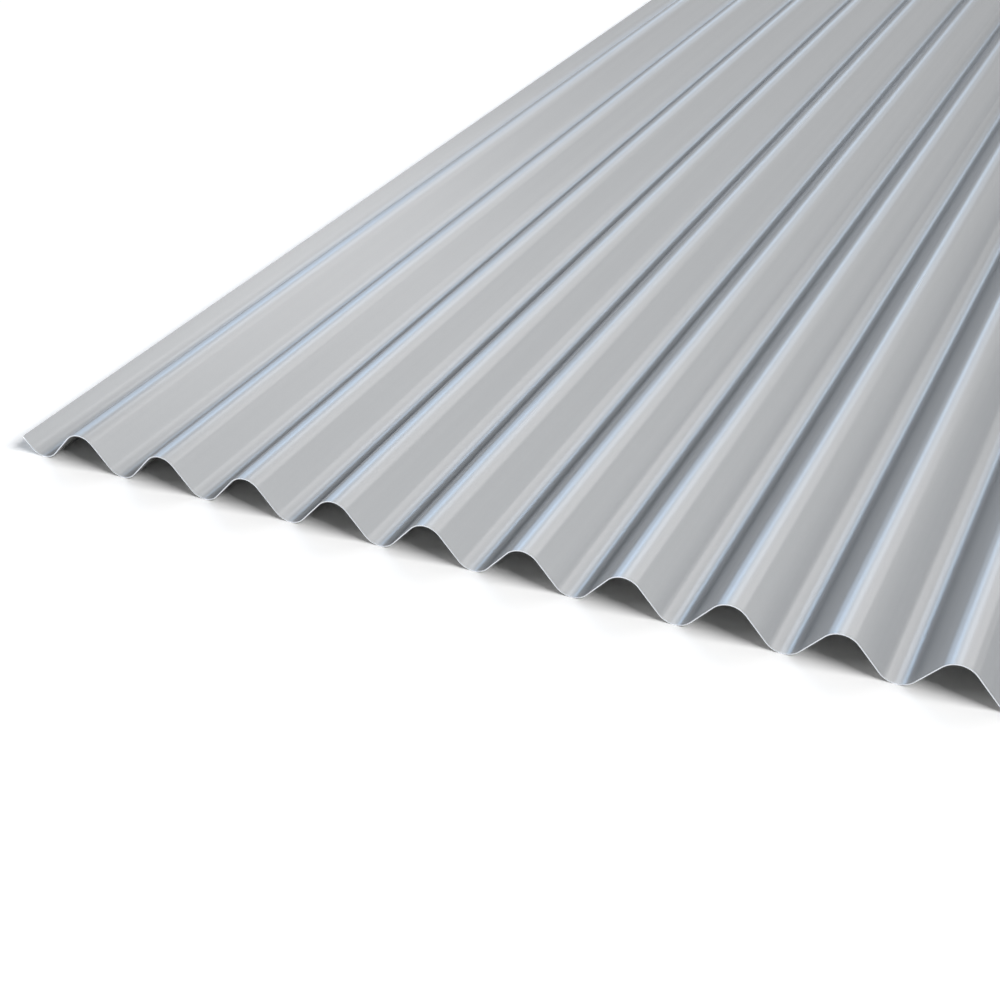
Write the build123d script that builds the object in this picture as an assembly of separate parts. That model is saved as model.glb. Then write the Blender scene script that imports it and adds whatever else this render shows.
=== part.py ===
from build123d import *

import math
import os

# A corrugated sheet of coated steel: one piece of rolled stock, lying flat on the undersides of its valleys.
# Millimetres. X runs across the waves, Y along them and Z up, with the origin on the floor under the middle.
# The left edge (-X) is turned up and the right edge (+X) is turned down, so a right edge laps the next left edge.

# Driving dimensions
PITCH = 67.7  # from crest to crest
DEPTH = 24.4  # from a valley to a crest, on the same face
BEND_RADIUS = 13.7  # of every crest and valley, to the middle of the thickness
THICKNESS = 0.7  # of the steel with its coatings
LENGTH = 2440.0  # along the waves
CORRUGATIONS = 14  # whole waves, so both long edges lie halfway up a flank

# A bend stays a little tighter than one that would leave no straight flank before the next bend
LARGEST_BEND_SHARE = 0.98

# What follows from them
WIDTH = CORRUGATIONS * PITCH
MID_HEIGHT = (DEPTH + THICKNESS) / 2


def bend_radius():
    """The radius of the bends, limited by the half wave that two of them have to fit in."""
    arcs_only_radius = ((PITCH / 2) ** 2 + DEPTH**2) / (4 * DEPTH)
    return min(BEND_RADIUS, LARGEST_BEND_SHARE * arcs_only_radius)


def flank_angle():
    """The slope, in radians, of the straight flank that touches the bend of a valley and of the next crest."""
    run = PITCH / 2
    rise = DEPTH - 2 * bend_radius()
    return math.atan2(rise, run) + math.asin(2 * bend_radius() / math.hypot(run, rise))


def wave_line(out):
    """The wave, a distance out of the middle of the thickness: flanks that meet at sharp folds, then are bent."""
    angle = flank_angle()
    fold_height = PITCH / 4 * math.tan(angle)
    fold_shift = out / math.cos(angle)
    edge_shift = Vector(out * math.sin(angle), out * math.cos(angle))
    points = [Vector(-WIDTH / 2, 0) + edge_shift]
    radii = []
    for half_wave in range(2 * CORRUGATIONS):
        side = -1 if half_wave % 2 == 0 else 1  # a valley first, then a crest
        across = PITCH / 4 + half_wave * PITCH / 2 - WIDTH / 2
        points.append(Vector(across, side * fold_height + fold_shift))
        radii.append(bend_radius() + side * out)
    points.append(Vector(WIDTH / 2, 0) + edge_shift)
    return FilletPolyline(*points, radius=radii)


def wave_section():
    """The cross-section: the two faces of the sheet, parallel all along, and its edges, square to the flanks."""
    upper = wave_line(THICKNESS / 2)
    lower = wave_line(-THICKNESS / 2)
    left_edge = Line(upper @ 0, lower @ 0)
    right_edge = Line(upper @ 1, lower @ 1)
    return make_face([*upper.edges(), *lower.edges(), left_edge, right_edge])


def corrugated_sheet():
    """The section, rolled along the whole length and set down on its valleys."""
    section = Plane.XZ * wave_section()
    return Pos(0, 0, MID_HEIGHT) * extrude(section, LENGTH / 2, both=True)


os.makedirs("parts", exist_ok=True)
export_step(corrugated_sheet(), "parts/corrugated_sheet.step")
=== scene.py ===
import math

import bmesh
import bpy
from mathutils import Matrix, Vector


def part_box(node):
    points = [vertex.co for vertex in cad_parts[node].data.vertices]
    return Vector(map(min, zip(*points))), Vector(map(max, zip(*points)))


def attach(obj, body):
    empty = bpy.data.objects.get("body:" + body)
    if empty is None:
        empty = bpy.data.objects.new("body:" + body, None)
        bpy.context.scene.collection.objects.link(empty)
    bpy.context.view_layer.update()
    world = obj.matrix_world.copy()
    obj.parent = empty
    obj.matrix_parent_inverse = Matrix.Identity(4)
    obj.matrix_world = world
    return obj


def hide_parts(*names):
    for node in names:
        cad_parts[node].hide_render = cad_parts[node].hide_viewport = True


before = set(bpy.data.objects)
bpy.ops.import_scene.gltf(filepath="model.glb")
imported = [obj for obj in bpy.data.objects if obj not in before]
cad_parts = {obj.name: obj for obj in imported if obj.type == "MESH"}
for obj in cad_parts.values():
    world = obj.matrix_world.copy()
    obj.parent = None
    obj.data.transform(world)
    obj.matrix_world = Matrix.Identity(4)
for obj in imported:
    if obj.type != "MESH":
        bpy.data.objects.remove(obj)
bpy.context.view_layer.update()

# The sheet, in metres: the wave of the rolled section, and its length from the frame
NODE = "corrugated_sheet"
PITCH = 0.0677
DEPTH = 0.0244
BEND_RADIUS = 0.0137
THICKNESS = 0.0007
CORRUGATIONS = 14
WIDTH = CORRUGATIONS * PITCH
SHEET_TOP = DEPTH + THICKNESS
MID_HEIGHT = SHEET_TOP / 2
FRONT_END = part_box(NODE)[0][1]
BACK_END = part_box(NODE)[1][1]

# How finely the sheet is divided
BEND_STEPS = 14
LENGTH_CUTS = 47

# The order of the finishes on the sheet, and the two colours that each one varies between
TOPCOAT, BACKING_COAT, SHEARED_EDGE = range(3)
TOPCOAT_COLOURS = (0.427, 0.438, 0.450, 1), (0.547, 0.558, 0.570, 1)
BACKING_COLOURS = (0.36, 0.365, 0.36, 1), (0.42, 0.425, 0.42, 1)
EDGE_COLOURS = (0.70, 0.73, 0.77, 1), (0.86, 0.89, 0.93, 1)

# The noise of the finishes: lumps a metre across the waves, along them and upwards
TONE_DRIFT = (1.5, 1.1, 1.5)
ROLLING_LINES = (260, 0.8, 0)
SCUFFS = (150, 4, 0)
FLAKE = (2200, 2200, 2200)
ORANGE_PEEL = (420, 420, 420)
BACKING_CLOUD = (35, 8, 35)
SHEAR_TEARS = (900, 900, 60)

# The height of the orange peel, and how far down from the top the crests are rubbed, in metres
PEEL_HEIGHT = 0.0001
CREST_RUB = 0.003

# The camera, in metres, degrees and millimetres: turned left of the line of the waves, looking down
CAMERA_PLACE = (0.2607, -1.9882, 0.5890)
CAMERA_TURN = 25.12
CAMERA_DOWN = 32.02
CAMERA_LENS = 58.79
CAMERA_SENSOR = 36.0

# The studio: metres, and shares of white
FLOOR_REACH = 8.0
FLOOR_SHADE = 0.9
FLOOR_IN_VIEW = 1.4
AMBIENT = 0.05
LAMP_AIM = (-0.15, -0.6, 0.0)
LAMP_DISTANCE = 25.0


class Value:
    """A number that varies over a surface. Python's operators on it add the finish's Math nodes."""

    def __init__(self, finish, socket):
        self.finish = finish
        self.socket = socket

    def __add__(self, other):
        return self.finish.maths("ADD", self, other)

    def __sub__(self, other):
        return self.finish.maths("SUBTRACT", self, other)

    def __mul__(self, other):
        return self.finish.maths("MULTIPLY", self, other)

    def __rsub__(self, other):
        return self.finish.maths("SUBTRACT", other, self)

    __radd__ = __add__
    __rmul__ = __mul__


class Finish:
    """A material or world made of nodes."""

    def __init__(self, owner):
        owner.use_nodes = True
        self.owner = owner
        self.nodes = owner.node_tree.nodes
        self.links = owner.node_tree.links
        self.nodes.clear()

    def node(self, kind, settings=None, sockets=None, output=0):
        """Adds a node: first its settings, then its sockets' values and links. Returns one of its outputs,
        or None if it has none."""
        new = self.nodes.new("ShaderNode" + kind)
        for name, setting in (settings or {}).items():
            setattr(new, name, setting)
        for name, held in (sockets or {}).items():
            if isinstance(held, Value):
                self.links.new(held.socket, new.inputs[name])
            else:
                new.inputs[name].default_value = held
        return Value(self, new.outputs[output]) if new.outputs else None

    def maths(self, operation, first, second):
        """Two numbers put through a Math node."""
        return self.node("Math", {"operation": operation}, {0: first, 1: second})

    def ramp(self, value, start, end):
        """0 before start, 1 after end, and a smooth rise between them."""
        return self.node(
            "MapRange",
            {"interpolation_type": "SMOOTHSTEP"},
            {"Value": value, "From Min": start, "From Max": end},
        )

    def place(self, scale=(1, 1, 1)):
        """Object coordinates, stretched."""
        coordinates = self.node("TexCoord", output="Object")
        return self.node("Mapping", sockets={"Vector": coordinates, "Scale": scale})

    def height(self):
        """Height above the floor, in metres."""
        return self.node("SeparateXYZ", sockets={"Vector": self.place()}, output="Z")

    def noise(self, lumps, detail):
        """Smooth noise about 0.5, with so many lumps a metre along each axis."""
        return self.node("TexNoise", sockets={"Vector": self.place(lumps), "Scale": 1.0, "Detail": detail})

    def in_view(self):
        """1 on rays from the camera and in what shines or lets light through, and 0 on other rays."""
        kinds = ("Camera", "Glossy", "Transmission")
        rays = [self.node("LightPath", output=f"Is {kind} Ray") for kind in kinds]
        return rays[0] + rays[1] + rays[2]

    def mix(self, share, first, second):
        """One colour turning into another."""
        return self.node("Mix", {"data_type": "RGBA"}, {0: share, 6: first, 7: second}, output=2)


def grey(level):
    """A neutral colour."""
    return (level, level, level, 1)


def topcoat():
    """Satin silver-grey coil coating: fine aluminium flake, a faint orange peel, rolling lines along the
    waves, and crests that are a little rubbed."""
    finish = Finish(bpy.data.materials.new("topcoat_light_grey"))
    drift = finish.noise(TONE_DRIFT, detail=2)
    lines = finish.noise(ROLLING_LINES, detail=3)
    scuffs = finish.noise(SCUFFS, detail=4)
    flake = finish.noise(FLAKE, detail=1)
    peel = finish.noise(ORANGE_PEEL, detail=1)
    crest = finish.ramp(finish.height(), SHEET_TOP - CREST_RUB, SHEET_TOP)
    rubbed = crest * finish.ramp(scuffs, 0.5, 0.7)
    tone = 0.3 * drift + 0.3 * lines + flake + 0.15 * rubbed - 0.3
    bump = finish.node("Bump", sockets={"Strength": 0.2, "Distance": PEEL_HEIGHT, "Height": peel})
    shader = finish.node("BsdfPrincipled", sockets={
        "Base Color": finish.mix(tone, *TOPCOAT_COLOURS),
        "Metallic": 0.3 + 0.1 * flake,
        "Roughness": 0.19 + 0.06 * lines + 0.05 * rubbed,
        "IOR": 1.5,
        "Specular IOR Level": 0.1,
        "Specular Tint": grey(0.2),
        "Normal": bump,
    })
    finish.node("OutputMaterial", sockets={"Surface": shader})
    return finish.owner


def backing_coat():
    """The thin, duller grey coat of the underside."""
    finish = Finish(bpy.data.materials.new("backing_coat_grey"))
    cloud = finish.noise(BACKING_CLOUD, detail=4)
    shader = finish.node("BsdfPrincipled", sockets={
        "Base Color": finish.mix(cloud, *BACKING_COLOURS),
        "Roughness": 0.45 + 0.1 * cloud,
    })
    finish.node("OutputMaterial", sockets={"Surface": shader})
    return finish.owner


def sheared_edge():
    """Bare steel and smeared zinc on the cut edges."""
    finish = Finish(bpy.data.materials.new("sheared_edge_zinc"))
    tears = finish.noise(SHEAR_TEARS, detail=2)
    shader = finish.node("BsdfPrincipled", sockets={
        "Base Color": finish.mix(tears, *EDGE_COLOURS),
        "Metallic": 1.0,
        "Roughness": 0.3 + 0.2 * tears,
    })
    finish.node("OutputMaterial", sockets={"Surface": shader})
    return finish.owner


def flank_angle():
    """The slope of the straight flank that touches the bend of a valley and of the next crest."""
    run = PITCH / 2
    rise = DEPTH - 2 * BEND_RADIUS
    return math.atan2(rise, run) + math.asin(2 * BEND_RADIUS / math.hypot(run, rise))


def straight_to(sheet, tip, end):
    """Extrudes a straight stretch from the tip of a line to a point, which becomes the new tip."""
    new = bmesh.ops.extrude_vert_indiv(sheet, verts=[tip])["verts"][0]
    new.co = end
    return new


def wave_line(sheet, out):
    """Draws one face of the section at the front end, a distance out of the middle of the thickness:
    straight flanks, and each bend spun about its centre. Returns its edges."""
    angle = flank_angle()
    across = Vector((math.sin(angle), 0, math.cos(angle)))
    first = Vector((-WIDTH / 2, FRONT_END, MID_HEIGHT)) + across * out
    tip = sheet.verts.new(first)
    drawn = [tip]
    for half_wave in range(2 * CORRUGATIONS):
        side = -1 if half_wave % 2 == 0 else 1
        centre = Vector((
            (half_wave + 0.5) * PITCH / 2 - WIDTH / 2,
            FRONT_END,
            MID_HEIGHT + side * (DEPTH / 2 - BEND_RADIUS),
        ))
        radius = BEND_RADIUS + side * out
        bend_start = centre + radius * Vector((-math.sin(angle), 0, side * math.cos(angle)))
        tip = straight_to(sheet, tip, bend_start)
        drawn.append(tip)
        before = len(sheet.verts)
        bend = bmesh.ops.spin(
            sheet, geom=[tip], cent=centre, axis=(0, 1, 0), angle=side * 2 * angle, steps=BEND_STEPS,
        )
        sheet.verts.ensure_lookup_table()
        drawn.extend(sheet.verts[before:])
        tip = next(v for v in bend["geom_last"] if isinstance(v, bmesh.types.BMVert))
    last = Vector((WIDTH / 2, FRONT_END, MID_HEIGHT)) + across * out
    drawn.append(straight_to(sheet, tip, last))
    return [edge for edge in sheet.edges if all(v in drawn for v in edge.verts)]


def finish_of(face):
    """Which finish a face of the sheet has."""
    cut_end = abs(face.normal.y) > 0.5
    long_edge = abs(face.calc_center_median().x) > WIDTH / 2 - THICKNESS
    if cut_end or long_edge:
        return SHEARED_EDGE
    return TOPCOAT if face.normal.z > 0 else BACKING_COAT


def corrugated_sheet():
    """The section drawn at the front end and extruded along the sheet, divided along its length, with
    sharp cut edges and each face given its finish."""
    sheet = bmesh.new()
    upper = wave_line(sheet, THICKNESS / 2)
    lower = wave_line(sheet, -THICKNESS / 2)
    section = bmesh.ops.bridge_loops(sheet, edges=upper + lower)["faces"]
    rolled = bmesh.ops.extrude_face_region(sheet, geom=section)["geom"]
    moved = [part for part in rolled if isinstance(part, bmesh.types.BMVert)]
    bmesh.ops.translate(sheet, verts=moved, vec=(0, BACK_END - FRONT_END, 0))
    lengthwise = [edge for edge in sheet.edges if abs(edge.verts[0].co.y - edge.verts[1].co.y) > DEPTH]
    bmesh.ops.subdivide_edges(sheet, edges=lengthwise, cuts=LENGTH_CUTS, use_grid_fill=True)
    bmesh.ops.recalc_face_normals(sheet, faces=sheet.faces)
    for face in sheet.faces:
        face.smooth = True
        face.material_index = finish_of(face)
    for edge in sheet.edges:
        edge.smooth = edge.link_faces[0].material_index == edge.link_faces[1].material_index
    mesh = bpy.data.meshes.new("sheet")
    sheet.to_mesh(mesh)
    sheet.free()
    for material in (topcoat(), backing_coat(), sheared_edge()):
        mesh.materials.append(material)
    piece = bpy.data.objects.new("sheet", mesh)
    bpy.context.collection.objects.link(piece)
    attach(piece, "root")
    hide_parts(NODE)


def softbox(name, lean, reach, wide, tall, radiance, colour=(1, 1, 1)):
    """A rectangular lamp that faces the sheet, as bright all over as the radiance says. Its place is two
    angles seen from the sheet: how far it leans to the right of straight up, about the line of the waves,
    and how far it reaches from the far end of that line. Its size is two angles too: wide is about the
    line of the waves."""
    leaning = math.radians(lean)
    reaching = math.radians(reach)
    overhead = Vector((math.sin(leaning), 0, math.cos(leaning)))
    along = Vector((0, 1, 0))
    outward = along * math.cos(reaching) + overhead * math.sin(reaching)
    upright = overhead * math.cos(reaching) - along * math.sin(reaching)
    data = bpy.data.lights.new(name, "AREA")
    data.shape = "RECTANGLE"
    data.size = 2 * LAMP_DISTANCE * math.tan(math.radians(wide) / 2)
    data.size_y = 2 * LAMP_DISTANCE * math.tan(math.radians(tall) / 2)
    data.energy = radiance * math.pi * data.size * data.size_y
    data.color = colour
    lamp = bpy.data.objects.new(name, data)
    lamp.location = Vector(LAMP_AIM) + outward * LAMP_DISTANCE
    lamp.rotation_euler = Matrix((upright.cross(outward), upright, outward)).transposed().to_euler()
    lamp.visible_camera = False
    bpy.context.collection.objects.link(lamp)


def lamps():
    """A key from the right, a fill low on the left, and panels behind, which show in the bends of the
    waves: two broad ones, a bluish one low on the left, and between these a brighter bluish strip."""
    softbox("key", lean=50, reach=94, wide=26, tall=36, radiance=8.9)
    softbox("left_fill", lean=-72, reach=90, wide=24, tall=60, radiance=3.3)
    softbox("back_left", lean=-24, reach=32, wide=24, tall=28, radiance=0.92, colour=(0.88, 1.0, 1.15))
    softbox("back_right", lean=10, reach=38, wide=46, tall=20, radiance=0.92, colour=(1.04, 1.0, 0.98))
    softbox("sky_panel", lean=-70, reach=48, wide=32, tall=26, radiance=1.08, colour=(0.64, 1.0, 1.46))
    softbox("sky_strip", lean=-49, reach=33, wide=11, tall=34, radiance=1.35, colour=(0.72, 1.0, 1.34))


def pale_floor():
    """A pale floor that shows white where the lamps reach it, and keeps the shadow."""
    mesh = bpy.data.meshes.new("floor")
    plane = bmesh.new()
    bmesh.ops.create_grid(plane, x_segments=1, y_segments=1, size=FLOOR_REACH)
    plane.to_mesh(mesh)
    plane.free()
    floor = bpy.data.objects.new("floor", mesh)
    bpy.context.collection.objects.link(floor)
    finish = Finish(bpy.data.materials.new("floor_pale"))
    shade = finish.mix(finish.in_view(), grey(FLOOR_SHADE), grey(FLOOR_IN_VIEW))
    shader = finish.node("BsdfDiffuse", sockets={"Color": shade})
    finish.node("OutputMaterial", sockets={"Surface": shader})
    mesh.materials.append(finish.owner)


def white_surround():
    """A world that is seen and mirrored as white, and gives only a little light."""
    world = bpy.data.worlds.new("surround")
    bpy.context.scene.world = world
    finish = Finish(world)
    ambient = finish.node("Background", sockets={"Color": grey(1), "Strength": AMBIENT})
    white = finish.node("Background", sockets={"Color": grey(1), "Strength": 1.0})
    both = finish.node("MixShader", sockets={0: finish.in_view(), 1: ambient, 2: white})
    finish.node("OutputWorld", sockets={"Surface": both})


def view_from_front():
    """The camera, in front of the sheet and right of its middle, looking down and to the left."""
    data = bpy.data.cameras.new("camera")
    data.sensor_width = CAMERA_SENSOR
    data.lens = CAMERA_LENS
    camera = bpy.data.objects.new("camera", data)
    camera.location = CAMERA_PLACE
    camera.rotation_euler = (math.radians(90 - CAMERA_DOWN), 0, math.radians(CAMERA_TURN))
    bpy.context.collection.objects.link(camera)
    bpy.context.scene.camera = camera


corrugated_sheet()
pale_floor()
white_surround()
lamps()
view_from_front()
bpy.context.scene.view_settings.view_transform = "Standard"
